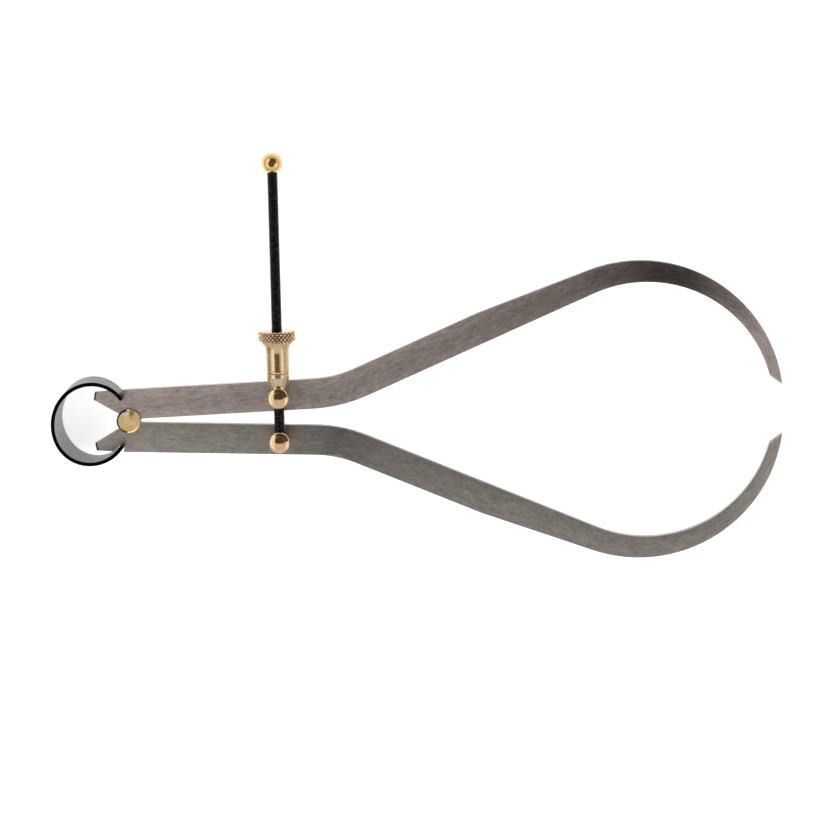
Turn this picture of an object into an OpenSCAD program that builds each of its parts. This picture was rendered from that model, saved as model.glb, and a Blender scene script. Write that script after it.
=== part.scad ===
// Bow spring outside caliper, 200 mm, lying on its back with the screw towards the viewer.
// Sizes are millimetres. Each leg is drawn in its own frame: u runs from the fulcrum along the arm,
// v points outwards, and v = 0 is the line on which the two tips meet when the caliper is closed.

/* [Legs] */
// Distance from the fulcrum centre to the measuring tip
reach = 200; // [160:1:260]
// Thickness of the flat steel legs
leg_t = 2.6; // [2:0.1:4]
// Width of the arm and of the first part of the shank
leg_w = 9.2; // [7:0.1:12]
// Distance from the closing line to the inner edge of the arm
arm_gap = 0.45; // [0.3:0.05:1]
// Distance from the fulcrum to the bend, along the inner edge
bend_u = 65.4; // [60:0.1:80]
// Radius of the bend on the inner edge
bend_inner_r = 49; // [20:1:60]
// Radius of the bend on the outer edge
bend_outer_r = 33; // [10:1:40]
// Length of parallel shank between the bend and the start of the taper
shank_parallel = 48; // [20:1:60]
// Half of the angle between the legs at rest
half_open = 2.1; // [0.5:0.1:6]

/* [Curve and tip] */
// Radius of the outer edge of the large curve
curve_outer_r = 43.9; // [36:0.1:50]
// Radius of the inner edge of the large curve
curve_inner_r = 39; // [32:0.1:42]
// Distance of the outer circle's centre beyond the closing line
curve_drop = 3.8; // [1:0.1:6]
// Shift of the inner circle's centre towards the tip, which thins the curve
curve_shift_u = 1.9; // [0:0.1:3]
// Shift of the inner circle's centre beyond the closing line
curve_shift_v = 1.75; // [1:0.05:4]
// Height of the bevelled end of the tip, from its point to its inner corner
tip_h = 2.9; // [2:0.05:4]
// Distance by which the upper tip passes the closing line and the lower tip stops short of it
tip_offset = 0.55; // [0:0.05:1]
// Bevel on the front and back edges of the tip
tip_bevel = 0.5; // [0.2:0.05:0.9]

/* [Tail] */
// Distance from the fulcrum to the end of the tail
tail_u = 10.2; // [8:0.1:12]
// Angle between the tail's inner edge and the arm
tail_angle = 32.4; // [31:0.1:36]
// Height at which the tail's inner edge ends
tail_end_v = 7.1; // [6:0.1:8]
// Fall of the tail's outer edge over its length
tail_fall = 0.35; // [0:0.05:1]

/* [Bow spring] */
// Mean outer radius of the bow
bow_r = 12.35; // [11.5:0.05:15]
// How far the legs' pull presses the bow in at its back and out at its sides
bow_squeeze = 0.5; // [0:0.05:1]
// Thickness of the spring strip
bow_t = 1.15; // [0.8:0.05:1.5]
// Width of the spring strip at its back
bow_back_w = 20.8; // [14:0.2:26]
// Width of the spring strip level with the fulcrum, to which it tapers
bow_fork_w = 9.2; // [7.6:0.1:12]
// Length of the strip's full width at its back, before the taper begins
bow_flat = 1.4; // [0.9:0.1:2]
// Distance from the fulcrum to the centre of the bow
bow_back = 10.95; // [9.9:0.05:12]
// Angle at which the strip ends and the fork's tines begin
bow_root_angle = 43; // [38:0.5:50]
// Angle at which the upper tines end
tine_upper_angle = 36.5; // [28:0.5:41]
// Angle at which the lower tines end
tine_lower_angle = 38; // [28:0.5:41]
// Distance that the root of the fork reaches into the round of its notch
root_depth = 0.3; // [0.1:0.05:0.35]

/* [Fulcrum] */
// Diameter of the spool's flanges
flange_d = 7.3; // [6:0.1:9]
// Thickness of each flange
flange_t = 1.3; // [1:0.1:2]
// Bevel round the outer edge of each flange
flange_bevel = 0.6; // [0.2:0.05:0.9]
// Diameter of the waist on which the legs roll
waist_d = 4.4; // [3.6:0.1:5.4]

/* [Studs] */
// Distance from the fulcrum to the studs, along the arm
stud_u = 46.5; // [42:0.1:54]
// Diameter of the stud's domed head
stud_head_d = 6.3; // [5.6:0.1:7.5]
// Height of the rim under the dome
stud_rim_h = 0.4; // [0.2:0.05:0.8]
// Height of the bevelled shoulder between the rim and the dome
shoulder_h = 0.5; // [0.2:0.05:0.8]
// Diameter of the dome on the head
dome_d = 5; // [4:0.1:5.6]
// Height of the head's dome
dome_h = 0.6; // [0.3:0.05:1]
// Width of the flat ledge round the dome
dome_rim = 0.05; // [0.05:0.05:0.2]
// Diameter of the stud's neck, which the screw passes through
stud_neck_d = 5.4; // [4.8:0.1:5.8]
// Diameter of the shank through the leg
shank_d = 3.2; // [2.5:0.1:4]
// Diameter of the riveted washer
washer_d = 6; // [5:0.1:8]
// Thickness of the riveted washer
washer_t = 0.8; // [0.5:0.1:1.2]
// Diameter of the riveted tail
rivet_d = 4.4; // [3.6:0.1:5]
// Height of the riveted tail
rivet_h = 0.7; // [0.4:0.1:1]

/* [Screw] */
// Major diameter of the screw
screw_d = 3.2; // [2.6:0.1:3.6]
// Height of the screw's axis above the front of the legs
screw_rise = 3.6; // [3.6:0.1:4.5]
// Distance from the centre line of the caliper to the ball's centre
ball_y = 78; // [70:0.2:90]
// Diameter of the ball
ball_d = 6.5; // [5:0.05:8]
// Diameter of the pin through the ball
pin_d = 2; // [1.4:0.1:2.2]
// Depth of the pin's end below the ball's surface
pin_recess = 0.35; // [0.2:0.05:0.8]

/* [Nut] */
// Diameter of the knurled head
head_d = 11.5; // [9:0.1:14]
// Height of the knurled head
head_h = 2.8; // [2:0.05:5]
// Height of the bevel under the head
head_bevel_h = 1.25; // [0.5:0.05:2]
// Diameter of the neck, where the bevel meets the flare
neck_d = 8.6; // [7.6:0.1:9]
// Height of the flare between the barrel and the neck
flare_h = 2.75; // [1.5:0.05:3.5]
// Width of the small ledge between the flare and the bevel
neck_ledge = 0.1; // [0.05:0.05:0.2]
// Diameter of the barrel
barrel_d = 7; // [6.2:0.05:7.2]
// Height of the plain barrel
barrel_h = 6.1; // [4:0.05:9]
// Length of the thrust cone along the screw
cone_h = 4.7; // [3.5:0.1:6]
// Height of the cylindrical rim of the thrust cone
cone_rim_h = 1.25; // [0.4:0.05:1.6]
// Height of the cylindrical land at the cone's small end
cone_land_h = 0.6; // [0.2:0.05:1]
// Diameter of the thrust cone's small end
cone_small_d = 4.8; // [4.4:0.1:5.4]
// Bevel on the edges at the line between nut and cone
line_bevel = 0.2; // [0.1:0.05:0.3]

/* [Clearances] */
// Gap between the tips when the caliper is closed, each side
tip_clear = 0.05; // [0.02:0.01:0.2]
// Running clearance of the legs on the waist
roll_clear = 0.05; // [0.02:0.01:0.1]
// Gap between the legs' faces and what lies on them
face_clear = 0.1; // [0.05:0.05:0.3]
// Clearance round the root of the fork in its notch
seat_clear = 0.17; // [0.1:0.01:0.4]
// Gap between the tines and the legs' faces
tine_clear = 0.15; // [0.1:0.05:0.4]
// Radial clearance of the stud's shank in the leg
shank_clear = 0.05; // [0.02:0.01:0.1]
// Radial clearance of the screw in the nut
thread_clear = 0.05; // [0.02:0.01:0.1]
// Radial clearance of the screw in the upper stud and the cone
pass_clear = 0.2; // [0.1:0.05:0.3]
// Gap between the upper stud and the cone, and at the line between cone and nut
seat_gap = 0.05; // [0.02:0.01:0.1]

/* [Hidden] */
$fn = 96;

steel = [0.56, 0.54, 0.52];
spring_steel = [0.42, 0.42, 0.42];
black_steel = [0.08, 0.08, 0.09];
brass = [0.80, 0.64, 0.36];
pale_brass = [0.78, 0.72, 0.54];

// The large curve: two eccentric circles, so that it thins towards the tip
arm_top = arm_gap + leg_w;
outer_c = [reach - sqrt(pow(curve_outer_r, 2) - pow(curve_drop + tip_clear, 2)), -curve_drop];
inner_c = outer_c + [curve_shift_u, -curve_shift_v];

// Direction of the line from point p that touches the far side of circle c, r
function touch_angle(p, c, r) =
    atan2(c.y - p.y, c.x - p.x) + asin(r / norm(c - p));
function dir(a) = [cos(a), sin(a)];
function left(a) = [-sin(a), cos(a)];

// The point at height v on the tip's side of circle c, r
function on_circle(c, r, v) = [c.x + sqrt(pow(r, 2) - pow(v - c.y, 2)), v];
function tip_out(tip_v) = on_circle(outer_c, curve_outer_r, tip_v);
function tip_in(tip_v) = on_circle(inner_c, curve_inner_r, tip_v + tip_h);
upper_tip_v = tip_clear - tip_offset;
lower_tip_v = tip_clear + tip_offset;

// The shank leaves the bend along the line that touches the inner circle
bend_in = [bend_u, arm_gap];
shank_angle = touch_angle(bend_in, inner_c, curve_inner_r);
shank_in_end = inner_c + curve_inner_r * left(shank_angle);
bend_out = bend_in + leg_w * [-tan(shank_angle / 2), 1];
taper_start = bend_out + shank_parallel * dir(shank_angle);
taper_angle = touch_angle(taper_start, outer_c, curve_outer_r);
shank_out_end = outer_c + curve_outer_r * left(taper_angle);

// Ends of the two bend arcs
inner_cut = bend_inner_r * tan(shank_angle / 2);
outer_cut = bend_outer_r * tan(shank_angle / 2);
bend_in_c = bend_in + [-inner_cut, bend_inner_r];
bend_out_c = bend_out + [-outer_cut, bend_outer_r];

// The tail's inner edge keeps a small distance from the fulcrum, so that the tails never meet
tail_edge = arm_gap * left(180 - tail_angle) * -1;
tail_in = [-tail_u, tail_end_v];

// Bow spring. Its outline is a circle pressed in at the back, and its ends are narrow
bow_step = 3;
function bow_outer(a) = bow_r - bow_squeeze * cos(2 * a);
function bow_point(a, depth) = (bow_outer(a) - depth) * dir(a);
bow_x = -bow_back;
bow_half_x = bow_outer(0);
bow_half_w_back = bow_back_w / 2;
bow_taper = (bow_back_w - bow_fork_w) / 2 / (bow_half_x + bow_back - bow_flat);

// The root of the upper fork as seen in the leg's frame
root_rest = [bow_x, 0] + bow_point(bow_root_angle, bow_t / 2);
root_leg = [
    root_rest.x * cos(half_open) + root_rest.y * sin(half_open),
    -root_rest.x * sin(half_open) + root_rest.y * cos(half_open)
];
notch_r = bow_t / 2 + seat_clear;
notch_tail_side = 92 + bow_root_angle;
notch_tip_side = 98;
fork_gap = leg_t + 2 * tine_clear;

// Studs, screw and nut. The screw's axis is square to the centre line at rest
leg_front = leg_t / 2;
stud_v = arm_gap + leg_w / 2;
stud_x = stud_u * cos(half_open) - stud_v * sin(half_open);
stud_y = stud_u * sin(half_open) + stud_v * cos(half_open);
screw_z = leg_front + screw_rise;
stud_head_z = screw_z + max(cone_small_d / 2, screw_d / 2 + pass_clear) + 2 * seat_gap;
dome_foot_z = stud_head_z + stud_rim_h;
screw_foot = 1.7;
screw_in_ball = 1.3;
cone_foot = stud_neck_d / 2 + seat_gap;
nut_bottom = cone_foot + cone_h + seat_gap;

// Box of the whole caliper, whose bottom centre is the origin
box_left = bow_x - bow_half_x;
upper_tip = tip_out(upper_tip_v);
box_right = upper_tip.x * cos(half_open) - upper_tip.y * sin(half_open);
box_top = ball_y + ball_d / 2;
box_bottom = -(outer_c.x * sin(half_open) + outer_c.y * cos(half_open) + curve_outer_r);
origin_shift = [-(box_left + box_right) / 2, -(box_top + box_bottom) / 2, bow_half_w_back];

module placed() {
    translate(origin_shift) children();
}

// Slice of the circle c, r that bulges beyond the chord from p to q
module bulge(c, r, p, q) {
    away = (p + q) / 2 - c;
    reach_out = away / norm(away) * r;
    intersection() {
        translate(c) circle(r, $fn = 180);
        polygon([p, q, q + reach_out, p + reach_out]);
    }
}

module arm_and_shank_plan() {
    inner_start = bend_in - [inner_cut, 0];
    inner_end = bend_in + inner_cut * dir(shank_angle);
    outer_start = bend_out - [outer_cut, 0];
    outer_end = bend_out + outer_cut * dir(shank_angle);
    difference() {
        polygon([
            tail_in, tail_edge, [0, arm_gap], inner_start, inner_end, shank_in_end,
            shank_out_end, taper_start, outer_end, outer_start, [0, arm_top],
            [-tail_u + 0.45, arm_top - tail_fall]
        ]);
        bulge(bend_out_c, bend_outer_r, outer_start, outer_end);
    }
    bulge(bend_in_c, bend_inner_r, inner_start, inner_end);
}

module curve_plan(tip_v) {
    beyond = 2 * curve_outer_r;
    tip = tip_out(tip_v);
    intersection() {
        difference() {
            translate(outer_c) circle(curve_outer_r, $fn = 180);
            translate(inner_c) circle(curve_inner_r, $fn = 180);
        }
        polygon([
            shank_in_end, shank_out_end, shank_out_end + [0, beyond],
            tip + [beyond, beyond], tip, tip_in(tip_v)
        ]);
    }
}

// Seat for the root of the fork, open outwards over the angles that the bow leaves at
module notch_plan() {
    length = 3 * leg_w;
    side_a = notch_r * left(notch_tail_side);
    side_b = notch_r * left(notch_tip_side) * -1;
    translate(root_leg) {
        circle(notch_r);
        polygon([
            [0, 0], side_b, side_b + length * dir(notch_tip_side),
            side_a + length * dir(notch_tail_side), side_a
        ]);
    }
}

module leg_plan(tip_v) {
    difference() {
        union() {
            arm_and_shank_plan();
            curve_plan(tip_v);
        }
        notch_plan();
    }
}

// Bevels the front and back edges of the tip's end face
module tip_bevels(tip_v) {
    tip = tip_out(tip_v);
    end = tip_in(tip_v) - tip;
    end_angle = atan2(end.y, end.x);
    depth = tip_bevel / sqrt(2);
    for (side = [-1, 1])
        translate([tip.x, tip.y, side * leg_front])
            rotate([0, 0, end_angle]) rotate([side * 45, 0, 0])
                translate([-leg_w, -depth, -leg_w]) cube([3 * leg_w, 2 * leg_w, 2 * leg_w]);
}

// One leg in its own frame, its tip's point at height tip_v
module leg(tip_v) {
    difference() {
        translate([0, 0, -leg_front]) linear_extrude(leg_t) leg_plan(tip_v);
        translate([0, 0, -leg_t]) cylinder(r = waist_d / 2 + roll_clear, h = 2 * leg_t);
        translate([stud_u, stud_v, -leg_t]) cylinder(r = shank_d / 2 + shank_clear, h = 2 * leg_t);
        tip_bevels(tip_v);
    }
}

module upper_leg() {
    color(steel) placed() rotate([0, 0, half_open]) leg(upper_tip_v);
}

module lower_leg() {
    color(steel) placed() mirror([0, 1, 0]) rotate([0, 0, half_open]) leg(lower_tip_v);
}

// The strip before its ends are forked: a ring with the mouth between the two tine ends cut out
module bow_strip() {
    mouth = 4 * bow_r;
    around = [for (a = [0 : bow_step : 360 - bow_step]) a];
    linear_extrude(bow_back_w, center = true)
        difference() {
            polygon([for (a = around) bow_point(a, 0)]);
            polygon([for (a = around) bow_point(a, bow_t)]);
            polygon([[0, 0], mouth * dir(-tine_lower_angle), mouth * dir(tine_upper_angle)]);
        }
}

// Side view of the strip, widest at the back
module bow_taper_block() {
    front = bow_half_x;
    flat_end = bow_flat - bow_half_x;
    front_half_w = bow_half_w_back - bow_taper * (front - flat_end);
    rotate([90, 0, 0])
        linear_extrude(4 * bow_r, center = true)
            polygon([
                [-bow_half_x, -bow_half_w_back], [flat_end, -bow_half_w_back],
                [front, -front_half_w], [front, front_half_w],
                [flat_end, bow_half_w_back], [-bow_half_x, bow_half_w_back]
            ]);
}

module bow_spring() {
    color(spring_steel) placed() translate([bow_x, 0, 0])
        difference() {
            intersection() {
                bow_strip();
                bow_taper_block();
            }
            for (side = [-1, 1])
                rotate([0, 0, side * bow_root_angle])
                    translate([bow_r / 2, -bow_r * (side + 1) / 2 - side * root_depth, -fork_gap / 2])
                        cube([bow_r, bow_r, fork_gap]);
        }
}

module fulcrum_spool() {
    waist_half = leg_front + face_clear;
    end_z = waist_half + flange_t;
    flange_r = flange_d / 2;
    color(brass) placed() rotate_extrude()
        polygon([
            [0, -end_z], [flange_r - flange_bevel, -end_z], [flange_r, -end_z + flange_bevel],
            [flange_r, -waist_half], [waist_d / 2, -waist_half], [waist_d / 2, waist_half],
            [flange_r, waist_half], [flange_r, end_z - flange_bevel],
            [flange_r - flange_bevel, end_z], [0, end_z]
        ]);
}

// Stud with a neck for the screw and a domed head, its axis on Z and its tail riveted behind
module stud_blank() {
    head_r = stud_head_d / 2;
    neck_r = stud_neck_d / 2;
    dome_r = (pow(dome_d / 2, 2) + pow(dome_h, 2)) / (2 * dome_h);
    shoulder_z = dome_foot_z + shoulder_h;
    foot_z = leg_front + face_clear;
    tail_z = -leg_front - face_clear - washer_t - seat_gap;
    rotate_extrude() {
        polygon([
            [0, tail_z - rivet_h], [shank_d / 2, tail_z - rivet_h], [rivet_d / 2, tail_z],
            [shank_d / 2, tail_z], [shank_d / 2, foot_z], [neck_r, foot_z],
            [neck_r, stud_head_z], [head_r, stud_head_z], [head_r, dome_foot_z],
            [dome_d / 2 + dome_rim, shoulder_z], [0, shoulder_z]
        ]);
        intersection() {
            translate([0, shoulder_z + dome_h - dome_r]) circle(dome_r);
            translate([0, shoulder_z]) square([stud_head_d, dome_h + 1]);
        }
    }
}

module upper_stud() {
    color(brass) placed() translate([stud_x, stud_y, 0])
        difference() {
            stud_blank();
            translate([0, 0, screw_z]) rotate([90, 0, 0])
                cylinder(r = screw_d / 2 + pass_clear, h = 2 * stud_neck_d, center = true);
        }
}

module lower_stud() {
    color(brass) placed() translate([stud_x, -stud_y, 0])
        difference() {
            stud_blank();
            translate([0, -screw_foot, screw_z]) rotate([-90, 0, 0]) cylinder(d = screw_d, h = stud_neck_d);
        }
}

module stud_washer() {
    translate([0, 0, -leg_front - face_clear - washer_t])
        difference() {
            cylinder(d = washer_d, h = washer_t);
            translate([0, 0, -washer_t]) cylinder(r = shank_d / 2 + shank_clear, h = 3 * washer_t);
        }
}

module upper_stud_washer() {
    color(brass) placed() translate([stud_x, stud_y, 0]) stud_washer();
}

module lower_stud_washer() {
    color(brass) placed() translate([stud_x, -stud_y, 0]) stud_washer();
}

// Places a shape drawn along Z on the screw's axis, starting at height y above the centre line
module on_screw(y) {
    translate([stud_x, y, screw_z]) rotate([-90, 0, 0]) children();
}

module adjusting_screw() {
    foot_y = -stud_y - screw_foot;
    color(black_steel) placed()
        difference() {
            on_screw(foot_y) cylinder(d = screw_d, h = ball_y + screw_in_ball - foot_y);
            translate([stud_x, ball_y, screw_z - ball_d]) cylinder(d = pin_d, h = 2 * ball_d);
        }
}

module screw_ball() {
    color(brass) placed()
        difference() {
            translate([stud_x, ball_y, screw_z]) sphere(d = ball_d);
            on_screw(ball_y - ball_d) cylinder(d = screw_d, h = ball_d + screw_in_ball);
            translate([stud_x, ball_y, screw_z - ball_d]) cylinder(d = pin_d, h = 2 * ball_d);
        }
}

module ball_pin() {
    length = ball_d - 2 * pin_recess;
    color(brass) placed()
        translate([stud_x, ball_y, screw_z]) cylinder(d = pin_d, h = length, center = true);
}

module adjusting_nut() {
    barrel_r = barrel_d / 2;
    neck_r = neck_d / 2;
    step = neck_r - neck_ledge - barrel_r;
    flare_r = (pow(step, 2) + pow(flare_h, 2)) / (2 * step);
    flare_y = barrel_h;
    neck_y = flare_y + flare_h;
    head_y = neck_y + head_bevel_h;
    top_y = head_y + head_h;
    bore_r = screw_d / 2 + thread_clear;
    color(brass) placed() on_screw(stud_y + nut_bottom)
        rotate_extrude()
            difference() {
                polygon([
                    [bore_r, 0], [barrel_r - line_bevel, 0], [barrel_r, line_bevel], [barrel_r, flare_y],
                    [neck_r, flare_y], [neck_r, neck_y], [head_d / 2, head_y],
                    [head_d / 2, top_y - line_bevel], [head_d / 2 - line_bevel, top_y], [bore_r, top_y]
                ]);
                intersection() {
                    translate([barrel_r + flare_r, flare_y]) circle(flare_r);
                    translate([barrel_r, flare_y]) square([neck_d, flare_h]);
                }
            }
}

module thrust_cone() {
    bore_r = screw_d / 2 + pass_clear;
    small_r = cone_small_d / 2;
    barrel_r = barrel_d / 2;
    color(pale_brass) placed()
        on_screw(stud_y + cone_foot)
            rotate_extrude()
                polygon([
                    [bore_r, 0], [small_r, 0], [small_r, cone_land_h],
                    [barrel_r, cone_h - cone_rim_h], [barrel_r, cone_h - line_bevel],
                    [barrel_r - line_bevel, cone_h], [bore_r, cone_h]
                ]);
}

lower_leg();
upper_leg();
bow_spring();
fulcrum_spool();
lower_stud();
upper_stud();
lower_stud_washer();
upper_stud_washer();
adjusting_screw();
screw_ball();
ball_pin();
adjusting_nut();
thrust_cone();
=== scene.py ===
# %% [markdown]
# # A spring caliper, from its packed frame to a finished picture
# The frame holds every rigid part at its real size and on its moving body. This lesson adds what
# the frame leaves out: the camera and studio, brushed and turned metal, a cut thread, a knurled
# nut and a smooth bow spring. Each step says what the real thing is before it is built.

# %% Load the frame
import math

import bmesh
import bpy
from mathutils import Matrix, Vector


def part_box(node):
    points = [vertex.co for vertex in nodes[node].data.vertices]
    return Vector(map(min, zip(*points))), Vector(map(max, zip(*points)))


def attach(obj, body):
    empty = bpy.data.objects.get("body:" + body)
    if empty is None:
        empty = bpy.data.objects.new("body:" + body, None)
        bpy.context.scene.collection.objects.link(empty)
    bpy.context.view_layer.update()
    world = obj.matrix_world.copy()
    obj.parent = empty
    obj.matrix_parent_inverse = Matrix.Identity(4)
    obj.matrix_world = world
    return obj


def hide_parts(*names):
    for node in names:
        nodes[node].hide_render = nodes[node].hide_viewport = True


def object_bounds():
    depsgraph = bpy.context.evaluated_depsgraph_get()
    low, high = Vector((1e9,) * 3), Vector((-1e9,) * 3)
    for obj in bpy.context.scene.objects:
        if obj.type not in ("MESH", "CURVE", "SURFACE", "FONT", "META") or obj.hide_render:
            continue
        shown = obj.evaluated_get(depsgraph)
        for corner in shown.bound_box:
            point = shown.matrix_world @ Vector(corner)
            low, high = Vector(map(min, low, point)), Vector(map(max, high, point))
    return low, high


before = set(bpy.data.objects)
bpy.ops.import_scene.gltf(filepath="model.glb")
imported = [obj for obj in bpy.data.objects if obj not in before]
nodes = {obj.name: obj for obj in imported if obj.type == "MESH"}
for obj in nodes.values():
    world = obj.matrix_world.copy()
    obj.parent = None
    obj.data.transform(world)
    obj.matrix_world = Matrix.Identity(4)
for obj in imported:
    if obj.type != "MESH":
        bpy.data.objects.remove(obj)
cad_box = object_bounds()
print("parts in the frame:", sorted(nodes))

# %% [markdown]
# ## Where things are
# Each piece is hung on a point read from the frame: the centre of the fulcrum, the two studs, the
# axis of the screw and the ball at its end. Lengths that belong to the real tool are written in
# millimetres and turned into metres with one factor. Each leg leans out from the centre line by
# half of the angle between them.

# %% Points read from the frame
MM = 0.001


def centre(node):
    low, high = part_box(node)
    return (low + high) / 2


FULCRUM = centre("fulcrum_spool")
UPPER_STUD = centre("upper_stud")
LOWER_STUD = centre("lower_stud")
BALL = centre("screw_ball")
SCREW_LOW, SCREW_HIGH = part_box("adjusting_screw")
NUT_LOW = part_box("adjusting_nut")[0]
HALF_OPEN = math.radians(2.1)
print("fulcrum at", [round(v / MM, 2) for v in FULCRUM], "mm")

# %% [markdown]
# ## The camera
# The photograph was taken from almost a metre away with a long lens, a little above and to the
# right of the fulcrum, looking slightly down the screw. A long lens keeps the legs from spreading,
# and the small tilt is what shows the side of the bow spring and the tops of the leg edges. The
# camera's place is measured from the fulcrum, and its right, up and back are given as directions.

# %% Camera
SENSOR = 36
LENS = 138.07
SHIFT = (-0.0006, 0.0008)
STAND = Vector((97.64, 139.34, 968.9))
RIGHT = (0.99973, -0.02217, -0.00638)
UP = (0.02102, 0.98941, -0.14359)
BACK = (0.00949, 0.14341, 0.98962)
FAR = 20

camera = bpy.data.objects.new("camera", bpy.data.cameras.new("camera"))
bpy.context.scene.collection.objects.link(camera)
bpy.context.scene.camera = camera
camera.data.sensor_width = SENSOR
camera.data.lens = LENS
camera.data.shift_x, camera.data.shift_y = SHIFT
camera.data.clip_end = FAR
aim = Matrix((RIGHT, UP, BACK)).transposed()
camera.matrix_world = Matrix.Translation(FULCRUM + STAND * MM) @ aim.to_4x4()
print("camera distance", round((camera.location - FULCRUM).length, 3), "m")

# %% [markdown]
# ## A way to write shader maths
# A material is a net of nodes, and sums read badly when each one is wired by hand. A small class
# wraps one output of a node, so that Python's own signs add the Math nodes. Every other node comes
# from one method, which sets the node's own settings first and then fills its sockets.


# %% Wires
class Wire:
    """One output of a node, on which Python's signs do the shader maths."""

    def __init__(self, recipe, socket):
        self.recipe = recipe
        self.socket = socket

    def math(self, operation, *others):
        numbers = dict(enumerate((self, *others)))
        return self.recipe.node("ShaderNodeMath", {"operation": operation}, numbers)

    def __add__(self, other):
        return self.math("ADD", other)

    __radd__ = __add__

    def __sub__(self, other):
        return self.math("SUBTRACT", other)

    def __rsub__(self, other):
        return (self * -1) + other

    def __mul__(self, other):
        return self.math("MULTIPLY", other)

    __rmul__ = __mul__

    def __truediv__(self, other):
        return self.math("DIVIDE", other)

    def __gt__(self, other):
        return self.math("GREATER_THAN", other)

    def __lt__(self, other):
        return self.math("LESS_THAN", other)

    def __abs__(self):
        return self.math("ABSOLUTE")


print("signs that a wire knows: + - * / > < and abs")


# %% Recipes
class Recipe:
    """The nodes of one material, or of the world."""

    def __init__(self, name, owner=None):
        self.owner = owner or bpy.data.materials.new(name)
        self.owner.use_nodes = True
        self.tree = self.owner.node_tree
        self.tree.nodes.clear()

    def node(self, kind, settings=None, inputs=None, output=0):
        made = self.tree.nodes.new(kind)
        for key, value in (settings or {}).items():
            if key == "stops":
                self.set_stops(made.color_ramp.elements, value)
            else:
                setattr(made, key, value)
        for key, value in (inputs or {}).items():
            socket = made.inputs[key]
            if isinstance(value, Wire):
                self.tree.links.new(value.socket, socket)
            else:
                socket.default_value = value
        return Wire(self, made.outputs[output]) if made.outputs else None

    def set_stops(self, marks, stops):
        """Gives a ramp its stops, each a place and a grey."""
        marks[0].position, marks[1].position = stops[0][0], stops[-1][0]
        for place, _ in stops[1:-1]:
            marks.new(place)
        for mark, (_, grey) in zip(marks, stops):
            mark.color = (grey, grey, grey, 1)

    def split(self, vector):
        return [self.node("ShaderNodeSeparateXYZ", None, {0: vector}, axis) for axis in range(3)]

    def millimetres(self):
        """The piece's own x, y and z, measured in millimetres from the frame's origin."""
        here = self.node("ShaderNodeTexCoord", None, None, "Object")
        return [part / MM for part in self.split(here)]

    def noise(self, x, y, z, detail=2.0):
        """Noise with one grain per unit in each direction, from 0 to 1."""
        place = self.node("ShaderNodeCombineXYZ", None, {0: x, 1: y, 2: z})
        inputs = {"Vector": place, "Scale": 1.0, "Detail": detail}
        return self.node("ShaderNodeTexNoise", None, inputs)

    def between(self, value, low, high):
        """0 below low, 1 above high and a smooth rise from one to the other."""
        settings = {"interpolation_type": "SMOOTHSTEP"}
        inputs = {"Value": value, "From Min": low, "From Max": high}
        return self.node("ShaderNodeMapRange", settings, inputs)

    def blend(self, share, first, second):
        """A colour that goes from first to second."""
        ends = [(*c, 1) if isinstance(c, tuple) else c for c in (first, second)]
        settings = {"data_type": "RGBA"}
        return self.node("ShaderNodeMix", settings, {"Factor": share, 6: ends[0], 7: ends[1]}, 2)

    def along_ramp(self, place, stops):
        """A number that passes through the stops as place goes from 0 to 1."""
        return self.node("ShaderNodeValToRGB", {"stops": stops}, {0: place})

    def bump(self, height, depth):
        """A normal from a height of 0 to 1 that stands depth millimetres high."""
        inputs = {"Height": height, "Strength": 1.0, "Distance": depth * MM}
        return self.node("ShaderNodeBump", None, inputs)

    def metal(self, **sockets):
        """Ends the recipe in the surface shader."""
        inputs = {key.replace("_", " "): value for key, value in sockets.items()}
        shader = self.node("ShaderNodeBsdfPrincipled", None, inputs)
        self.node("ShaderNodeOutputMaterial", None, {"Surface": shader})
        return self.owner


def span(first, second):
    """The distance from an axis, from the distances along two directions across it."""
    return (first * first + second * second).math("SQRT")


print("recipe helpers:", [name for name in vars(Recipe) if name[0] != "_"])

# %% [markdown]
# ## The studio
# The tool lies in a white tent. What shines on polished brass is the tent itself: pale all round,
# with a dark room above where the camera and its stand look in, and a bright lamp on either side of
# it. It could be built from cards and lamps, but the world can be drawn by direction, so these
# shapes are plain masks on how far a ray leans along X and Y. The sky near the floor is dimmer,
# because the tent's skirt gets less light.

# %% The tent
SKYLINE = 0.05

studio = bpy.data.worlds.new("tent")
bpy.context.scene.world = studio
tent = Recipe("tent", studio)
lean = tent.split(tent.node("ShaderNodeTexCoord", None, None, "Generated"))
above = lean[2] > SKYLINE
lean_x = lean[0] / lean[2].math("MAXIMUM", SKYLINE)
lean_y = lean[1] / lean[2].math("MAXIMUM", SKYLINE)


def window(x0, x1, y0, y1, soft):
    """1 inside a rectangle of the tent's roof, with soft edges."""
    across = tent.between(lean_x, x0 - soft, x0 + soft) * tent.between(lean_x, x1 + soft, x1 - soft)
    along = tent.between(lean_y, y0 - soft, y0 + soft) * tent.between(lean_y, y1 + soft, y1 - soft)
    return across * along * above


print("the roof starts where a ray rises by", SKYLINE)

# %% [markdown]
# The room is wider above the tool than below it, so its right side moves with the lean along Y.
# Its light is warm, which gives the brass its brown shades. Camera rays see the white of the paper.

# %% Room and lamps
ROOF_LIGHT = 0.90
ROOM_LOSS = 0.80
LAMP_GAIN = 0.60
SKIRT_LOSS = 0.45
SKIRT_TOP, SKIRT_FOOT = 0.34, 0.02
ROOM_NARROW, ROOM_WIDENS = 0.40, 0.85
ROOM_LIGHT = (1.0, 0.72, 0.50)
WHITE = (1.0, 1.0, 1.0)

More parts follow.
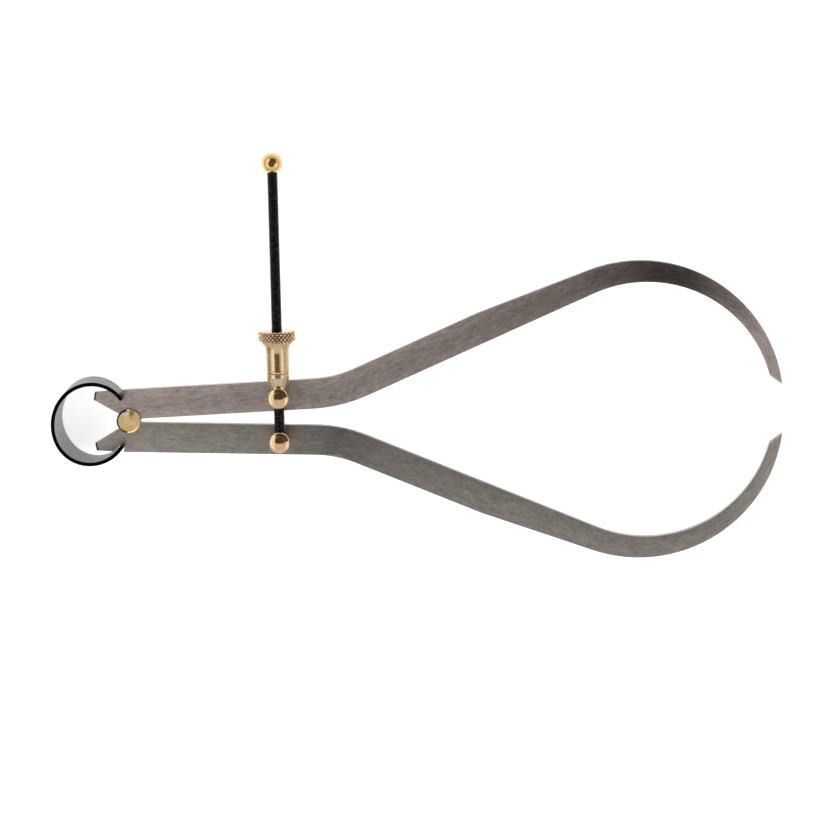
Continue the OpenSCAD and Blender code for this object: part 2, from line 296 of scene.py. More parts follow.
room_right = ROOM_NARROW + ROOM_WIDENS * tent.between(lean_y, -0.14, 0.0)
room = window(-0.53, room_right, -0.205, 1.7, 0.05)
left_lamp = window(-1.7, -0.60, -1.1, 1.3, 0.10)
right_lamp = window(0.80, 1.9, -1.1, -0.02, 0.10)
skirt = tent.between(lean[2], SKIRT_TOP, SKIRT_FOOT) * (lean[2] > 0)
lamps = LAMP_GAIN * left_lamp + LAMP_GAIN * right_lamp
brightness = ROOF_LIGHT - ROOM_LOSS * room + lamps - SKIRT_LOSS * skirt
tint = tent.blend(room, WHITE, ROOM_LIGHT)
camera_ray = tent.node("ShaderNodeLightPath", None, None, "Is Camera Ray")
light = tent.node("ShaderNodeBackground", None, {"Color": tint, "Strength": brightness})
white = tent.node("ShaderNodeBackground", None, {"Color": (*WHITE, 1), "Strength": 1.0})
mixed = tent.node("ShaderNodeMixShader", None, {0: camera_ray, 1: light, 2: white})
tent.node("ShaderNodeOutputWorld", None, {"Surface": mixed})
bpy.context.scene.view_settings.view_transform = "Standard"
print("tent lit with", len(tent.tree.nodes), "nodes")

# %% [markdown]
# ## The floor
# A sheet of white paper lies under the bow spring. Camera and mirror rays see it a little lifted
# towards pure white, as in the cut-out photograph, but it is still a matt surface, so the soft
# shadow of the tool stays on it.

# %% Paper floor
HALF_SHEET = 1.5
PAPER = (0.88, 0.88, 0.88, 1)
PAPER_LIFT = 0.78

corners = [(HALF_SHEET * x, HALF_SHEET * y, 0) for x, y in ((-1, -1), (1, -1), (1, 1), (-1, 1))]
mesh = bpy.data.meshes.new("floor")
mesh.from_pydata(corners, [], [(0, 1, 2, 3)])
floor = bpy.data.objects.new("floor", mesh)
floor.location.z = cad_box[0].z
bpy.context.scene.collection.objects.link(floor)
sheet = Recipe("paper")
camera_ray, mirror_ray, clear_ray = [
    sheet.node("ShaderNodeLightPath", None, None, f"Is {kind} Ray")
    for kind in ("Camera", "Glossy", "Transmission")
]
matt = sheet.node("ShaderNodeBsdfDiffuse", None, {"Color": PAPER})
glow = sheet.node("ShaderNodeEmission", None, {"Color": (*WHITE, 1), "Strength": PAPER_LIFT})
lifted = sheet.node("ShaderNodeAddShader", None, {0: matt, 1: glow})
seen = (camera_ray + mirror_ray + clear_ray).math("MINIMUM", 1.0)
paper_mix = sheet.node("ShaderNodeMixShader", None, {0: seen, 1: matt, 2: lifted})
sheet.node("ShaderNodeOutputMaterial", None, {"Surface": paper_mix})
floor.data.materials.append(sheet.owner)
print("floor at", round(floor.location.z / MM, 2), "mm")

# %% [markdown]
# ## Brushed leg steel
# The legs are cut from flat steel and rubbed down along their length, so the grain follows the
# leg: straight along the arm, straight along the shank, then round the large curve. The recipe
# works out how far along the leg each point lies, and how far from its inner and outer edge, in
# those three stretches. The same recipe serves both legs, mirrored. In the leg's own measure, u
# runs along the arm from the fulcrum and v across it, away from the other leg. Each of the two
# curves is given by its centre in u and v and by its radius.

# %% Path of a leg
LEG_GAP = 0.45
LEG_W = 9.2
BEND_U = 65.4
SHANK = math.radians(21.1)
SHANK_PARALLEL = 48.0
SHANK_LENGTH = 84.4
SHANK_TAPER = 0.055
INNER_CURVE = (158.17, -5.55, 39.0)
OUTER_CURVE = (156.27, -3.8, 43.9)
LEG_LENGTH = 215.0


def leg_path(recipe, side):
    """Along, distance from the inner and the outer edge, u, v and z, all in millimetres."""
    x, y, z = recipe.millimetres()
    x = x - FULCRUM.x / MM
    y = (y - FULCRUM.y / MM) * side
    u = x * math.cos(HALF_OPEN) + y * math.sin(HALF_OPEN)
    v = y * math.cos(HALF_OPEN) - x * math.sin(HALF_OPEN)
    from_bend, above_gap = u - BEND_U, v - LEG_GAP
    shank_along = from_bend * math.cos(SHANK) + above_gap * math.sin(SHANK)
    shank_in = above_gap * math.cos(SHANK) - from_bend * math.sin(SHANK)
    shank_w = LEG_W - SHANK_TAPER * (shank_along - SHANK_PARALLEL).math("MAXIMUM", 0)
    curve_u, curve_v = u - INNER_CURVE[0], v - INNER_CURVE[1]
    curve_in = span(curve_u, curve_v) - INNER_CURVE[2]
    curve_out = OUTER_CURVE[2] - span(u - OUTER_CURVE[0], v - OUTER_CURVE[1])
    turned_by = (math.pi / 2 + SHANK) - curve_v.math("ARCTAN2", curve_u)
    bent = from_bend > 0
    curved = (curve_u * math.cos(SHANK) + curve_v * math.sin(SHANK)) > 0
    arm, plain = 1 - bent, 1 - curved
    inner = (above_gap * arm + shank_in * bent) * plain + curve_in * curved
    outer = ((LEG_W - above_gap) * arm + (shank_w - shank_in) * bent) * plain + curve_out * curved
    straight = u * arm + (shank_along + BEND_U) * bent
    along = straight * plain + (turned_by * INNER_CURVE[2] + BEND_U + SHANK_LENGTH) * curved
    return along, inner, outer, u, v, z


print("leg path: bend at", BEND_U, "mm, curve of", INNER_CURVE[2], "mm")

# %% [markdown]
# The finish has four layers. Slow changes of tone run along the leg, partly where the belt pressed
# more or less and partly as painted light and shade, with a stretch of painted shade at the top of
# the upper curve. Painted light and shade across the leg, and a thin line at each edge that is partly
# wear and partly a painted highlight, make the face look rounded off. Scratches follow the grain, and
# small cloudy patches break them up. The bevelled end of the tail keeps its black skin. Grain,
# scratches and clouds are each given as grains to a millimetre, across the leg and along it.


# %% Leg finish
GRAIN = (7, 0.7)
SCRATCH = (2.7, 0.42)
CLOUD = (0.5, 0.16)
GRAIN_DEPTH, CLOUD_DEPTH = 0.9, 0.4
SHADE_HOLLOW_MIDDLE = 0.4
WORN_HIGHLIGHT_LINE = (0.38, 0.02)
WORN_HIGHLIGHT_SHARE = 0.35
WORN_HIGHLIGHT = (0.62, 0.60, 0.58)
BLACK = (0.0, 0.0, 0.0)
TONES_START, TONES_LENGTH = 15, LEG_LENGTH + 20
TAIL_IN = (-10.2, 7.1)
TAIL_OUT = (-9.75, 9.3)
TAIL_SKIN = (0.62, 0.42)
STEEL_GLOSS = 0.29
STEEL_BUMP = 0.012


def tail_end(recipe, u, v):
    """1 on the bevel that ends the tail."""
    slope = (TAIL_OUT[0] - TAIL_IN[0]) / (TAIL_OUT[1] - TAIL_IN[1])
    from_end = u - TAIL_IN[0] - (v - TAIL_IN[1]) * slope
    return recipe.between(from_end, *TAIL_SKIN)


def leg_steel(name, side, tint, tones, shade_slant, shade_hollow, scratched, end):
    """The tone ramp along the leg and the slant and hollow across it are painted light and shade; end
    colours the tail's bevel.
    """
    recipe = Recipe(name)
    along, inner, outer, u, v, z = leg_path(recipe, side)
    fine = recipe.noise(inner * GRAIN[0], along * GRAIN[1], z * GRAIN[0])
    scratch = recipe.noise(inner * SCRATCH[0], along * SCRATCH[1], z * SCRATCH[0] + side, detail=4.0)
    patch = recipe.noise(inner * CLOUD[0], along * CLOUD[1], 3.0 + side, detail=3.0)
    sideways = inner / (inner + outer) * 2 - 1
    # Painted shade across the leg: darker towards one edge, and lighter towards both edges where the
    # hollow term is positive.
    across_shade = 1 + sideways * shade_slant + (sideways * sideways - SHADE_HOLLOW_MIDDLE) * shade_hollow
    grain = (fine - 0.5) * GRAIN_DEPTH + (scratch - 0.5) * scratched + (patch - 0.5) * CLOUD_DEPTH + 1
    # The tone ramp along the leg is partly painted light and shade.
    light_trend = recipe.along_ramp((along + TONES_START) / TONES_LENGTH, tones)
    tone = (light_trend * across_shade * grain).math("MINIMUM", 1.0)
    cool = tuple(c * w for c, w in zip(tint, (0.93, 0.99, 1.0)))
    steel = recipe.blend(tone, BLACK, recipe.blend(patch, tint, cool))
    # A thin light line at each edge: partly wear, partly a painted highlight.
    edge = recipe.between(inner.math("MINIMUM", outer), *WORN_HIGHLIGHT_LINE)
    worn_highlit = recipe.blend(edge * WORN_HIGHLIGHT_SHARE, steel, WORN_HIGHLIGHT)
    return recipe.metal(
        Base_Color=recipe.blend(tail_end(recipe, u, v), worn_highlit, end),
        Metallic=1.0,
        Roughness=fine * 0.12 + scratch * 0.14 + STEEL_GLOSS,
        Normal=recipe.bump(fine * 0.6 + scratch * 0.4, STEEL_BUMP),
    )


print("scratches as deep as", STEEL_BUMP, "mm,", GRAIN[0], "grains to a millimetre across the leg")

# %% [markdown]
# The two legs come from one bar but not from one stroke of the belt. The upper leg is warmer and
# has painted shade at the top of its curve, and the lower one is cooler and darkest near its bend.

# %% The two legs' finishes
UPPER_TINT = (0.69, 0.585, 0.55)
LOWER_TINT = (0.60, 0.545, 0.50)
# Tone ramps along each leg, partly painted light and shade; the upper one's deep dip is painted shade
# at the top of its curve.
UPPER_LIGHT_TONES = (
    (0.0, 0.98), (0.20, 0.76), (0.33, 0.70), (0.50, 0.66), (0.68, 0.46),
    (0.78, 0.16), (0.82, 0.15), (0.89, 0.55), (0.94, 1.0),
)
LOWER_LIGHT_TONES = (
    (0.0, 0.86), (0.16, 0.68), (0.27, 0.60), (0.34, 0.36), (0.42, 0.54),
    (0.60, 0.60), (0.85, 0.64), (0.94, 0.80),
)
DARK_END = (0.07, 0.065, 0.06)
BLACK_END = (0.01, 0.01, 0.01)

finish = {
    "upper_leg": leg_steel(
        "leg_steel_upper", 1, UPPER_TINT, UPPER_LIGHT_TONES,
        shade_slant=0.02, shade_hollow=0.22, scratched=1.2, end=DARK_END,
    ),
    "lower_leg": leg_steel(
        "leg_steel_lower", -1, LOWER_TINT, LOWER_LIGHT_TONES,
        shade_slant=0.12, shade_hollow=-0.02, scratched=0.95, end=BLACK_END,
    ),
}
print("leg finishes:", sorted(finish))

# %% [markdown]
# ## Turned brass
# Studs, spool, ball, nut and cone come off a lathe. The tool leaves rings round the axis, so the
# recipe measures each point's distance from the axis and along it and lets noise vary with those
# alone. On polished pieces the rings are so shallow that they only draw out the reflections. A
# piece with a region of its own, such as the coarse face of the spool, gets a detail: a function
# that changes the colour, height or shine there.


# %% Brass finish
RING_GRAIN = 7
STAIN_GRAIN = 0.6


def turned_brass(name, axis, middle, colours, roughness, rings, *details):
    """Brass with lathe rings. Axis is y or z, middle a point on it and rings their depth in mm."""
    recipe = Recipe(name)
    x, y, z = recipe.millimetres()
    aside = x - middle.x / MM
    other, along = (y - middle.y / MM, z) if axis == "z" else (z - middle.z / MM, y)
    radius = span(aside, other)
    ring = recipe.noise(radius * RING_GRAIN, along * RING_GRAIN, 1.5, detail=3.0)
    stain = recipe.noise(x * STAIN_GRAIN, y * STAIN_GRAIN, z * STAIN_GRAIN)
    tone = recipe.between(ring * 0.5 + stain * 0.5, 0.3, 0.7)
    look = {
        "colour": recipe.blend(tone, colours[1], colours[0]),
        "height": ring * rings,
        "shine": ring * 0.1 + (roughness - 0.05),
    }
    for detail in details:
        detail(recipe, look, aside, other, along, radius)
    return recipe.metal(
        Base_Color=look["colour"],
        Metallic=1.0,
        Roughness=look["shine"],
        Normal=recipe.bump(look["height"], 1.0),
    )


print("brass has", RING_GRAIN, "rings to a millimetre")

# %% [markdown]
# The front of the spool was faced off with a coarse feed. Its rings are a bump, and over them a
# swirl of bright and dull gold is painted, as painted highlight and painted shade. Near the rim a
# painted highlight and a painted shade stand in for two facets that catch the lamp and the dark
# room. Each is a direction round the face, in radians, and a width. The crown of each stud has one
# fine ring cut into it.

# %% Details of the brass
SPOOL_FACE = 3.05
FACE_GRAIN = 3
FACE_BUMP = 0.11
FACE_DULL = 0.27
SWIRL_ARMS, SWIRL_LEAD = 3, 1.3
SHEEN_TURN = 1.1
# Where the painted highlight and the painted shade lie near the spool's rim.
PAINTED_FACET_BAND = (1.5, 2.2)
HIGHLIGHT_TURN, HIGHLIGHT_WIDTH = 1.85, (0.90, 0.97)
SHADE_TURN, SHADE_WIDTH = 1.15, (0.955, 0.985)
GLINT, PALE_GLINT = (1.0, 0.80, 0.46), (1.0, 0.93, 0.76)
DULL_SHADE_GOLD, SHADE_GOLD = (0.58, 0.38, 0.13), (0.30, 0.17, 0.06)
STUD_RING = 1.9
STUD_RING_DEPTH = 0.02


def faced_off(recipe, look, aside, other, along, radius):
    """The coarse rings on the front of the spool, with painted glints and painted dull shade over
    them.
    """
    around = other.math("ARCTAN2", aside)
    swirl = (around * SWIRL_ARMS + radius * SWIRL_LEAD).math("SINE")
    coarse = recipe.noise(radius * FACE_GRAIN, swirl * 0.5, 2.5, detail=3.0)
    faced = recipe.between(radius, SPOOL_FACE + 0.05, SPOOL_FACE - 0.05)
    look["height"] = look["height"] + coarse * faced * FACE_BUMP
    look["shine"] = look["shine"] + faced * FACE_DULL
    # The sheen and the bright glints are painted highlight, and the dull gold is painted shade.
    sheen = (around * 2 + SHEEN_TURN).math("COSINE") * 0.5 + 0.5
    glint = faced * (sheen * 0.5 + recipe.between(coarse, 0.42, 0.62) * 0.4)
    dull_shade = faced * recipe.between(coarse, 0.50, 0.36) * 0.7
    look["colour"] = recipe.blend(dull_shade, recipe.blend(glint, look["colour"], GLINT), DULL_SHADE_GOLD)


def painted_facet_light(recipe, look, aside, other, along, radius):
    """A painted shade and a painted highlight near the rim of the spool."""
    outer_end = recipe.between(radius, SPOOL_FACE + 0.9, SPOOL_FACE + 0.5)
    rim = recipe.between(radius, *PAINTED_FACET_BAND) * outer_end
    highlight_way, shade_way = [
        (other * math.sin(a) + aside * math.cos(a)) / radius for a in (HIGHLIGHT_TURN, SHADE_TURN)
    ]
    # Painted shade and painted highlight, standing in for two facets of the rim.
    painted_shade_share = rim * recipe.between(shade_way, *SHADE_WIDTH) * 0.75
    painted_highlight_share = rim * recipe.between(highlight_way, *HIGHLIGHT_WIDTH) * 0.8
    with_shade = recipe.blend(painted_shade_share, look["colour"], SHADE_GOLD)
    look["colour"] = recipe.blend(painted_highlight_share, with_shade, PALE_GLINT)


def stud_ring(recipe, look, aside, other, along, radius):
    """The fine ring cut into the crown of a stud."""
    ring = recipe.between(abs(radius - STUD_RING), 0.08, 0.0)
    look["height"] = look["height"] - ring * STUD_RING_DEPTH


print("spool faced inside", SPOOL_FACE, "mm, stud ring at", STUD_RING, "mm")

# %% Brass of each piece
GOLD = ((1.0, 0.75, 0.35), (0.94, 0.64, 0.27))
STUD_BRASS = ((0.71, 0.52, 0.32), (0.60, 0.41, 0.23))
PALE = ((0.62, 0.51, 0.34), (0.54, 0.43, 0.26))
BALL_GOLD = ((0.77, 0.54, 0.26), (0.68, 0.45, 0.19))
# The pin's brass is painted dark brown, as painted shade in its recess.
SHADED_PIN = ((0.42, 0.24, 0.10), (0.28, 0.15, 0.06))

brass = {
    "fulcrum_spool": ("z", FULCRUM, GOLD, 0.16, 0.004, faced_off, painted_facet_light),
    "upper_stud": ("z", UPPER_STUD, STUD_BRASS, 0.12, 0.003, stud_ring),
    "lower_stud": ("z", LOWER_STUD, STUD_BRASS, 0.12, 0.003, stud_ring),
    "screw_ball": ("y", BALL, BALL_GOLD, 0.2, 0.006),
    "ball_pin": ("z", BALL, SHADED_PIN, 0.35, 0.01),
    "thrust_cone": ("y", BALL, PALE, 0.2, 0.004),
}
for piece, how in brass.items():
    finish[piece] = turned_brass(f"{piece}_brass", *how)
finish["upper_stud_washer"] = finish["upper_stud"]
finish["lower_stud_washer"] = finish["lower_stud"]
print("brass finishes:", sorted(brass))

# %% [markdown]
# ## Blackened screw steel
# The screw is chemically blackened: nearly black, with a soft shine where hands and the nut have
# rubbed the crests of the thread. The distance from the screw's axis tells crest from root, so the
# wear needs no picture.


# %% Blackened steel
CREST_WEAR = (1.42, 1.6)
OXIDE_GRAIN = 1.5
OXIDE_GLOSS = 0.26
OXIDE, RUBBED_OXIDE = (0.005, 0.005, 0.0055), (0.05, 0.049, 0.047)


def black_oxide():
    recipe = Recipe("black_oxide")
    x, y, z = recipe.millimetres()
    radius = span(x - BALL.x / MM, z - BALL.z / MM)
    patch = recipe.noise(x * OXIDE_GRAIN, y * OXIDE_GRAIN, z * OXIDE_GRAIN)
    rubbed = recipe.between(radius, *CREST_WEAR) * recipe.between(patch, 0.3, 0.7)
    colour = recipe.blend(rubbed, OXIDE, RUBBED_OXIDE)
    return recipe.metal(Base_Color=colour, Metallic=0.9, Roughness=patch * 0.2 + OXIDE_GLOSS)


black_steel = black_oxide()
print("made", black_steel.name)

# %% [markdown]
# ## Spring steel
# The bow spring is rolled strip. Its broad faces are grey with streaks that run along the strip,
# with painted shade where the strip turns towards the forks, while the sheared edges stay black.
# The angle round the bow's centre gives the direction of the streaks, and the way a point faces
# tells edge from face. Streaks are given as grains to a millimetre across the strip and to a radian
# round it.

# %% Spring steel
BOW_BACK = 10.95
STRIP_DARK, STRIP_LIGHT = (0.10, 0.10, 0.10), (0.26, 0.26, 0.26)
STRIP_SHADE, SHEARED = (0.01, 0.01, 0.01), (0.005, 0.005, 0.005)
SHADE_SHARE = 0.45
FINE_STREAK = (8, 2.2)
BROAD_STREAK = (1.9, 0.55)
EDGE_FACING = (0.45, 0.6)
STRIP_GLOSS = 0.28


def spring_steel():
    recipe = Recipe("bow_steel")
    x, y, z = recipe.millimetres()
    x = x - (FULCRUM.x / MM - BOW_BACK)
    y = y - FULCRUM.y / MM
    angle = y.math("ARCTAN2", x)
    fine = recipe.noise(z * FINE_STREAK[0], angle * FINE_STREAK[1], 1.0)
    broad = recipe.noise(z * BROAD_STREAK[0], angle * BROAD_STREAK[1], 4.0, detail=3.0)
    tone = recipe.between(fine * 0.4 + broad * 0.6, 0.30, 0.70)
    face = recipe.blend(tone, STRIP_DARK, STRIP_LIGHT)
    # Painted shade on the strip's upper and lower sides, growing with the sine of the angle.
    shaded = recipe.blend(abs(angle.math("SINE")) * SHADE_SHARE, face, STRIP_SHADE)
    facing = recipe.split(recipe.node("ShaderNodeTexCoord", None, None, "Normal"))[2]
    edge = recipe.between(abs(facing), *EDGE_FACING)
    return recipe.metal(
        Base_Color=recipe.blend(edge, shaded, SHEARED),
        Metallic=1.0,
        Roughness=fine * 0.14 + edge * 0.12 + STRIP_GLOSS,
        Normal=recipe.bump(fine, 0.01),
    )


bow_steel = spring_steel()
print("made", bow_steel.name)

# %% [markdown]
# ## The parts that keep their frame shape
# The legs, spool, studs, washers, ball, pin and cone already have their true form. They only need
# their finish. The thin light line along each leg's edge is part of that finish, partly wear and
# partly a painted highlight.

# %% Finish the frame's own parts
for name, material in finish.items():
    part = nodes[name]
    part.data.materials.clear()
    part.data.materials.append(material)
print("finished:", ", ".join(sorted(finish)))

# %% [markdown]
# ## Shapes turned on a lathe
# A turned shape is a profile spun round an axis. A modifier could spin it, but the helper here
# takes rings of radius and height and lets the radius change round the ring, which is how the
# knurling is cut later. Each shape becomes a piece that rides on its body.


# %% Spin a profile
def object_from(bm, name, body, material, sharp):
    """Turns a bmesh into a piece that rides on a body. Edges over sharp degrees stay crisp."""
    bmesh.ops.recalc_face_normals(bm, faces=bm.faces)
    data = bpy.data.meshes.new(name)
    bm.to_mesh(data)
    bm.free()
    data.shade_smooth()
    data.set_sharp_from_angle(angle=math.radians(sharp))
    data.materials.append(material)
    piece = bpy.data.objects.new(name, data)
    bpy.context.scene.collection.objects.link(piece)
    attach(piece, body)
    print(f"{name}: {len(data.vertices)} vertices, rides on {body}")
    return piece


def spun(rings, count, foot, axis="y"):
    """A closed bmesh of rings round an axis along Y or Z. Each ring is (radius at a turn, height)."""
    bm = bmesh.new()
    rows = []
    for radius, height in rings:
        row = []
        for i in range(count):
            turn = i / count
            r = radius(turn, height) if callable(radius) else radius
            a = turn * 2 * math.pi
            c, d = r * math.cos(a), r * math.sin(a)
            place = Vector((c, height, d)) if axis == "y" else Vector((c, d, height))
            row.append(bm.verts.new(foot + place * MM))
        rows.append(row)
    for first, second in zip(rows, rows[1:] + rows[:1]):
        for i in range(count):
            j = (i + 1) % count
            bm.faces.new((first[i], first[j], second[j], second[i]))
    return bm


print("lathe ready")

# %% [markdown]
# ## Stud caps
# The head of each stud is crowned and its corner is rolled over, which is where the bright ring in
# the photograph comes from. The frame gives the head a plain bevel, so a thin turned cap with the
# crown and the rolled corner is set over it. The crown is part of a ball of radius CROWN_BEND, and
# its last ring is a pinhole too small to see, so that no faces meet in one point.

# %% Stud caps
CAP_R = 3.16
CAP_SIDES = 96
CAP_SEAT = 1.1
CROWN_R = 2.75
CROWN_TOP = 1.15
CROWN_BEND = 6.02
CROWN_ROWS = 14
PINHOLE = 0.02

rolled_corner = [(CAP_R, 0.0), (3.13, 0.13), (3.05, 0.28), (2.92, 0.41)]
cap_rings = [(PINHOLE, 0.02), (3.0, -0.1), (CAP_R, -0.1)] + rolled_corner
for i in range(CROWN_ROWS + 1):
    r = CROWN_R * (1 - i / CROWN_ROWS) + PINHOLE
    cap_rings.append((r, CROWN_TOP - CROWN_BEND + math.sqrt(CROWN_BEND ** 2 - r ** 2)))
for stud, body in (("upper_stud", "swivel"), ("lower_stud", "screw")):
    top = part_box(stud)[1].z / MM
    seat = Vector((centre(stud).x, centre(stud).y, (top - CAP_SEAT) * MM))
    cap = spun(cap_rings, CAP_SIDES, seat, "z")
    object_from(cap, f"{stud}_cap", body, finish[stud], 60)

# %% [markdown]
# ## The knurl
# The head of the nut is rolled between two cross-cut wheels, which press in two sets of grooves
# that cross at a right angle and leave small pyramids. Each set is a wave that climbs round the
# head, one to the left and one to the right, and the lower of the two waves gives the surface. Dirt
# stays in the grooves and fingers rub the points bright, and the finish follows the same two waves.

# %% Knurl
HEAD_R = 5.75
TOP_Y = 12.9
DIAMONDS = 27
KNURL_DEPTH = 0.50
FLAT_POINTS = 1.25
GROOVE_FLOOR = (0.25, 0.10)
HEAD_START = (4.6, 5.0)
RUBBED, DIRT = (1.0, 0.82, 0.56), (0.20, 0.11, 0.04)
knurl_pitch = 2 * math.pi * HEAD_R / DIAMONDS


def wave(t):
    return 1 - abs(2 * (t % 1) - 1)


def knurled(plain, share=1.0):
    """A radius that dips into the two sets of grooves."""
    def radius(turn, height):
        left = wave(turn * DIAMONDS + height / knurl_pitch)
        right = wave(turn * DIAMONDS - height / knurl_pitch)
        return plain - share * KNURL_DEPTH * (1 - min(1, FLAT_POINTS * min(left, right)))
    return radius


def knurl_grime(recipe, look, aside, other, along, radius):
    """Dirt low in the grooves, and bright points on the diamonds."""
    turn = other.math("ARCTAN2", aside) / (2 * math.pi)
    height = (along - NUT_LOW.y / MM) / knurl_pitch
    waves = [(turn * DIAMONDS + height * way).math("PINGPONG", 0.5) for way in (1, -1)]
    low = recipe.between(waves[0].math("MINIMUM", waves[1]), *GROOVE_FLOOR)
    on_head = recipe.between(radius, *HEAD_START) * (height * knurl_pitch < TOP_Y - 0.2)
    rubbed = recipe.blend((1 - low) * on_head * 0.8, look["colour"], RUBBED)
    look["colour"] = recipe.blend(low * on_head * 0.75, rubbed, DIRT)


print("knurl:", DIAMONDS, "diamonds,", round(knurl_pitch, 2), "mm apart")

# %% [markdown]
# ## The nut
# Below the knurled head the nut is plain. It flares up from the barrel to the neck in a round
# sweep, and two fine rings are cut near its foot. The grooves of the knurl run out over the bevel
# under the head.

# %% Profile of the nut
BARREL_R = 3.5
NECK_R = 4.2
BEVEL_R = NECK_R + 0.1
BORE_R = 1.65
BORE_BEVEL = 0.35
FLARE_Y = 6.1
NECK_Y = 8.85
HEAD_Y = 10.1
RINGS_Y = (0.62, 1.0)
FLARE_ROWS, BEVEL_ROWS, HEAD_ROWS = 12, 12, 24
EDGE = 0.25


def groove(height, width=0.16, depth=0.07):
    half = width / 2
    return [(BARREL_R, height - half), (BARREL_R - depth, height), (BARREL_R, height + half)]


step = NECK_R - BARREL_R
flare_r = (step ** 2 + (NECK_Y - FLARE_Y) ** 2) / (2 * step)
flare_end = math.asin((NECK_Y - FLARE_Y) / flare_r)
nut_rings = [(BORE_R, 0), (BARREL_R - 0.2, 0), (BARREL_R - 0.06, 0.06), (BARREL_R, 0.2)]
for height in RINGS_Y:
    nut_rings += groove(height)
for i in range(FLARE_ROWS + 1):
    a = flare_end * i / FLARE_ROWS
    nut_rings.append((BARREL_R + flare_r * (1 - math.cos(a)), FLARE_Y + flare_r * math.sin(a)))
nut_rings.append((BEVEL_R, NECK_Y))
for i in range(1, BEVEL_ROWS):
    share = i / BEVEL_ROWS
    plain = BEVEL_R + (HEAD_R - BEVEL_R) * share
    nut_rings.append((knurled(plain, min(1, 2.5 * share)), NECK_Y + (HEAD_Y - NECK_Y) * share))
for i in range(HEAD_ROWS + 1):
    nut_rings.append((knurled(HEAD_R), HEAD_Y + (TOP_Y - EDGE - HEAD_Y) * i / HEAD_ROWS))
nut_rings += [(HEAD_R - 0.34, TOP_Y - 0.04), (HEAD_R - 0.42, TOP_Y)]
nut_rings += [(BORE_R + BORE_BEVEL, TOP_Y), (BORE_R, TOP_Y - 0.3)]
print("nut profile:", len(nut_rings), "rings, flare of", round(flare_r, 2), "mm")

# %% Knurled nut
NUT_BRASS = ((0.64, 0.48, 0.285), (0.55, 0.39, 0.215))
NUT_SIDES = DIAMONDS * 8

nut_brass = turned_brass("nut_brass", "y", BALL, NUT_BRASS, 0.16, 0.004, knurl_grime)
nut_foot = Vector((BALL.x, NUT_LOW.y, BALL.z))
nut_shape = spun(nut_rings, NUT_SIDES, nut_foot)
knurled_nut = object_from(nut_shape, "knurled_nut", "nut", nut_brass, 40)
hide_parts("adjusting_nut")

# %% [markdown]
# ## The cut thread
# The screw is a real helix and not a stack of rings, because the slope of the crests shows at this
# size. One strip with the thread's profile is carried round the axis, and each turn is sewn to the
# next one, so the whole thread is a single skin from the lower stud to the ball.

# %% Threaded screw
PITCH = 0.635
CREST_R = 1.64
ROOT_R = 1.38
STEPS = 28
profile = ((ROOT_R, 0.0), (ROOT_R, 0.06), (CREST_R, 0.20), (CREST_R, 0.50))
length = (SCREW_HIGH.y - SCREW_LOW.y) / MM
turns = int(length / PITCH)
foot = Vector((BALL.x, SCREW_LOW.y, BALL.z))
bm = bmesh.new()
skin = []
for s in range(turns * STEPS + 1):
    a = 2 * math.pi * s / STEPS
    lift = PITCH * s / STEPS
    skin.append([
        bm.verts.new(foot + Vector((r * math.cos(a), min(lift + up, length), -r * math.sin(a))) * MM)
        for r, up in profile
    ])
for s in range(len(skin) - 1):
    here, after = skin[s], skin[s + 1]
    for k in range(len(profile) - 1):
        bm.faces.new((here[k], after[k], after[k + 1], here[k + 1]))
    if s + STEPS + 1 < len(skin):
        bm.faces.new((here[-1], after[-1], skin[s + STEPS + 1][0], skin[s + STEPS][0]))
threaded_screw = object_from(bm, "threaded_screw", "screw", black_steel, 30)
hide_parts("adjusting_screw")
print("thread:", turns, "turns of", PITCH, "mm")

# %% [markdown]
# ## The bow spring
# A flat strip, widest at the back, is bent into an open ring and its ends are slit into forks that
# straddle the legs. In the frame it is a ring of short flats, enough for its size and its motion.
# Here the same strip is laid out as a fine grid of cells with two skins, the outer and the inner,
# and the slit is left empty. Angles go round the bow's centre in degrees, from the side that faces
# the legs.

# %% Line and width of the bow
BOW = FULCRUM + Vector((-BOW_BACK, 0, 0)) * MM
BOW_R = 12.35
SQUEEZE = 0.5
STRIP = 1.15
BACK_HALF_W = 10.4
FORK_HALF_W = 4.6
BOW_FLAT = 1.4
ROOT_ANGLE = 43 - 1.4


def bow_radius(a):
    return BOW_R - SQUEEZE * math.cos(2 * a)


def bow_point(a, depth, z):
    r = bow_radius(a) - depth
    return BOW + Vector((r * math.cos(a), r * math.sin(a), z)) * MM


def half_width(a):
    """Half the strip's width, which falls steadily from the back to the forks."""
    back = -bow_radius(0)
    x = bow_radius(a) * math.cos(a)
    fall = (BACK_HALF_W - FORK_HALF_W) / (BOW_BACK - back - BOW_FLAT)
    return BACK_HALF_W - fall * max(0, x - back - BOW_FLAT)


at_forks = half_width(math.radians(ROOT_ANGLE))
print("bow: half width", BACK_HALF_W, "mm at the back,", round(at_forks, 2), "mm at the forks")

# %% [markdown]
# Each station across the strip has four points, at the two edges and at the two sides of the slit,
# on the outer and on the inner skin. The first and the last stations lie at the ends of the tines,
# and the next ones at the roots of the forks.

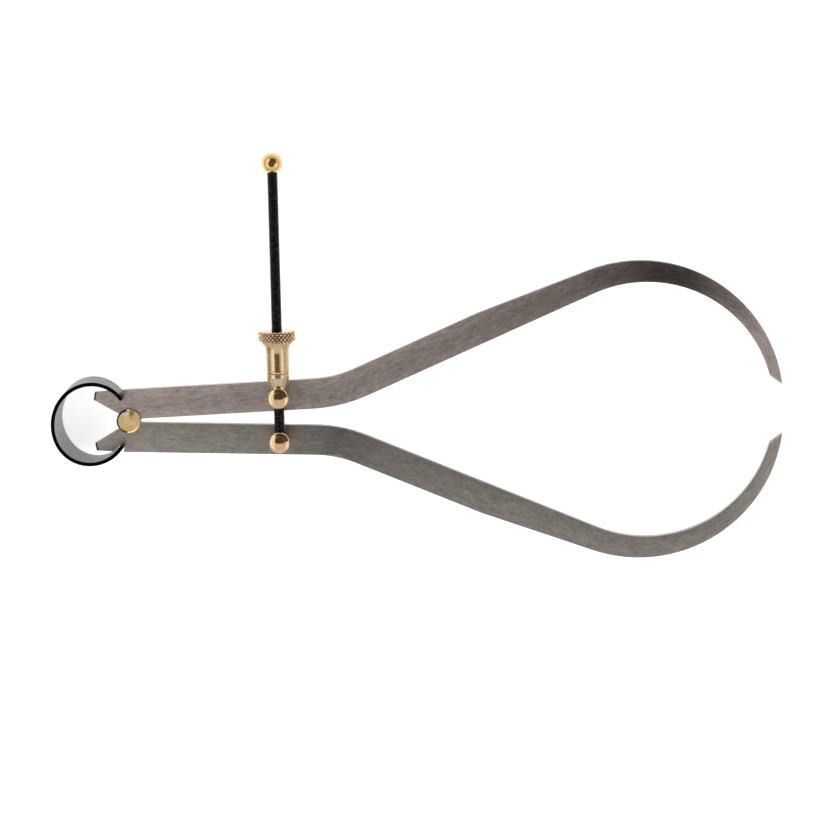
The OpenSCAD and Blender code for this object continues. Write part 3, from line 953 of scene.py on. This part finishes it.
# %% Stations round the bow
FORK_HALF_GAP = 1.45
TINE_ENDS = (-38, 36.5)
BOW_STEPS = 180

bow_angles = [TINE_ENDS[1], ROOT_ANGLE]
for i in range(1, BOW_STEPS + 1):
    bow_angles.append(ROOT_ANGLE + (360 - 2 * ROOT_ANGLE) * i / BOW_STEPS)
bow_angles.append(360 + TINE_ENDS[0])
bm = bmesh.new()
stations = []
for degrees in bow_angles:
    a = math.radians(degrees)
    w = half_width(a)
    levels = (-w, -FORK_HALF_GAP, FORK_HALF_GAP, w)
    skins = [[bm.verts.new(bow_point(a, depth, z)) for z in levels] for depth in (0, STRIP)]
    stations.append(skins)
print("bow laid out in", len(stations), "stations")

# %% Skins, edges and forks
LOWER_TINE, SLIT, UPPER_TINE = 0, 1, 2
LOWER_EDGE, UPPER_EDGE = 0, 3


def wall(k, first, second):
    """A face through the strip's thickness, from one station to the next."""
    (out_a, in_a), (out_b, in_b) = first, second
    bm.faces.new((out_a[k], in_a[k], in_b[k], out_b[k]))


def closing(k, station):
    """A face through the strip's thickness that closes one cell of a station."""
    out, inner = station
    bm.faces.new((out[k], out[k + 1], inner[k + 1], inner[k]))


for s, (first, second) in enumerate(zip(stations, stations[1:])):
    (out_a, in_a), (out_b, in_b) = first, second
    slit = s in (0, len(stations) - 2)
    for k in (LOWER_TINE, UPPER_TINE) if slit else (LOWER_TINE, SLIT, UPPER_TINE):
        bm.faces.new((out_a[k], out_b[k], out_b[k + 1], out_a[k + 1]))
        bm.faces.new((in_a[k], in_a[k + 1], in_b[k + 1], in_b[k]))
    for k in (LOWER_EDGE, UPPER_EDGE, SLIT, SLIT + 1) if slit else (LOWER_EDGE, UPPER_EDGE):
        wall(k, first, second)
for station in (stations[0], stations[-1]):
    closing(LOWER_TINE, station)
    closing(UPPER_TINE, station)
for station in (stations[1], stations[-2]):
    closing(SLIT, station)
bow = object_from(bm, "bow_strip", "bow", bow_steel, 40)
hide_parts("bow_spring")

# %% [markdown]
